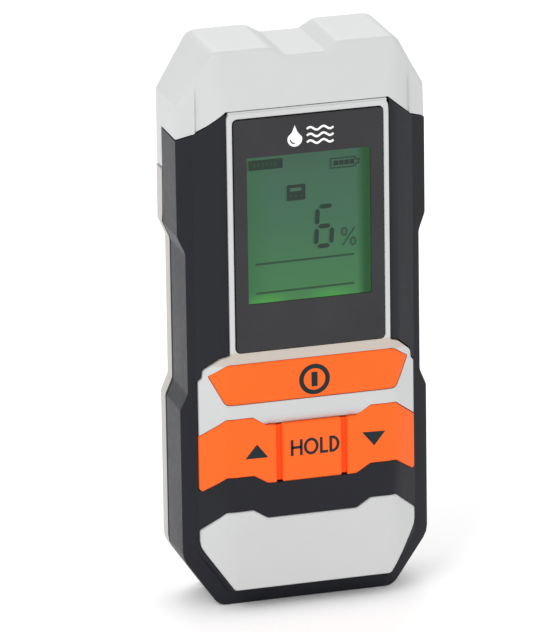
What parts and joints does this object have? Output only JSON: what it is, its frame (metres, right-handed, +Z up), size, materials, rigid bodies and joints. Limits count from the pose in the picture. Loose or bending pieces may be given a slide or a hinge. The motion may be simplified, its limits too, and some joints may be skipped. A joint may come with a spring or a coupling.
{
  "type": "stud finder with moisture meter",
  "caption": "Handheld wall tester with a green display, orange power and hold keys, a pull-off cap over steel measuring pins and a battery door on the back.",
  "frame": {"origin": "centre of the bottom of the bounding box, on the flat foot that it stands on", "axes": "+Z up the length of the tool from its foot to its cap, +Y from the display face to the back, +X to the right of someone who reads the display"},
  "size_m": [0.066, 0.027, 0.15],
  "materials": {
    "shell_dark": "fine satin moulded plastic",
    "shell_light": "satin moulded plastic",
    "key_orange": "matte silicone rubber",
    "window": "glossy acrylic, printed dark at the back",
    "lcd_green": "backlit green display cell",
    "light_guide": "milky light guide",
    "board_green": "solder-masked board",
    "chip_black": "moulded component",
    "rubber_black": "matte rubber",
    "foam_grey": "soft foam",
    "steel": "bright plated steel",
    "brass": "plain brass",
    "label_silver": "blank silver label",
    "battery_blue": null
  },
  "bodies": {
    "housing": {"front_cover": "shell_dark", "display_bezel": "shell_light", "display_window": "window", "lower_panel": "shell_light", "lcd_glass": "lcd_green", "backlight_plate": "light_guide", "zebra_strip": "rubber_black", "keypad_mat": "key_orange", "pin_holder": "shell_dark", "pin_left": "steel", "pin_right": "steel", "pin_socket_left": "brass", "pin_socket_right": "brass", "pin_strip_left": "brass", "pin_strip_right": "brass", "main_board": "board_green", "microcontroller": "chip_black", "voltage_regulator": "chip_black", "crystal": "steel", "capacitor": "chip_black", "buzzer": "chip_black", "sensor_plate": "brass", "battery_box": "shell_light", "battery": "battery_blue", "battery_terminal_minus": "steel", "battery_terminal_plus": "steel", "terminal_block": "chip_black", "terminal_strip_minus": "brass", "terminal_strip_plus": "brass", "rear_cover": "shell_light", "rating_label": "label_silver", "board_screw_1": "steel", "case_screw_1": "steel", "board_screw_2": "steel", "case_screw_2": "steel", "board_screw_3": "steel", "case_screw_3": "steel", "board_screw_4": "steel", "case_screw_4": "steel"},
    "power": {"power_button": "key_orange", "power_contact": "rubber_black"},
    "up": {"up_key": "key_orange", "up_contact": "rubber_black"},
    "hold": {"hold_key": "key_orange", "hold_contact": "rubber_black"},
    "down": {"down_key": "key_orange", "down_contact": "rubber_black"},
    "cap": {"pin_cap": "shell_light"},
    "door": {"battery_door": "shell_light", "battery_pad": "foam_grey"}
  },
  "joints": [
    {"name": "cap_pull", "type": "slide", "parent": "housing", "child": "cap", "axis": [0, 0, 1], "range_m": [0, 0.032]},
    {"name": "power_press", "type": "slide", "parent": "housing", "child": "power", "axis": [0, 1, 0], "range_m": [0, 0.0008], "stiffness_N_per_m": 1200, "springref_m": -0.0004},
    {"name": "up_press", "type": "slide", "parent": "housing", "child": "up", "axis": [0, 1, 0], "range_m": [0, 0.0008], "stiffness_N_per_m": 1200, "springref_m": -0.0004},
    {"name": "hold_press", "type": "slide", "parent": "housing", "child": "hold", "axis": [0, 1, 0], "range_m": [0, 0.0008], "stiffness_N_per_m": 1200, "springref_m": -0.0004},
    {"name": "down_press", "type": "slide", "parent": "housing", "child": "down", "axis": [0, 1, 0], "range_m": [0, 0.0008], "stiffness_N_per_m": 1200, "springref_m": -0.0004},
    {"name": "door_hinge", "type": "hinge", "parent": "housing", "child": "door", "pos_m": [0, 0.01255, 0.01045], "axis": [-1, 0, 0], "range_deg": [0, 95]}
  ]
}
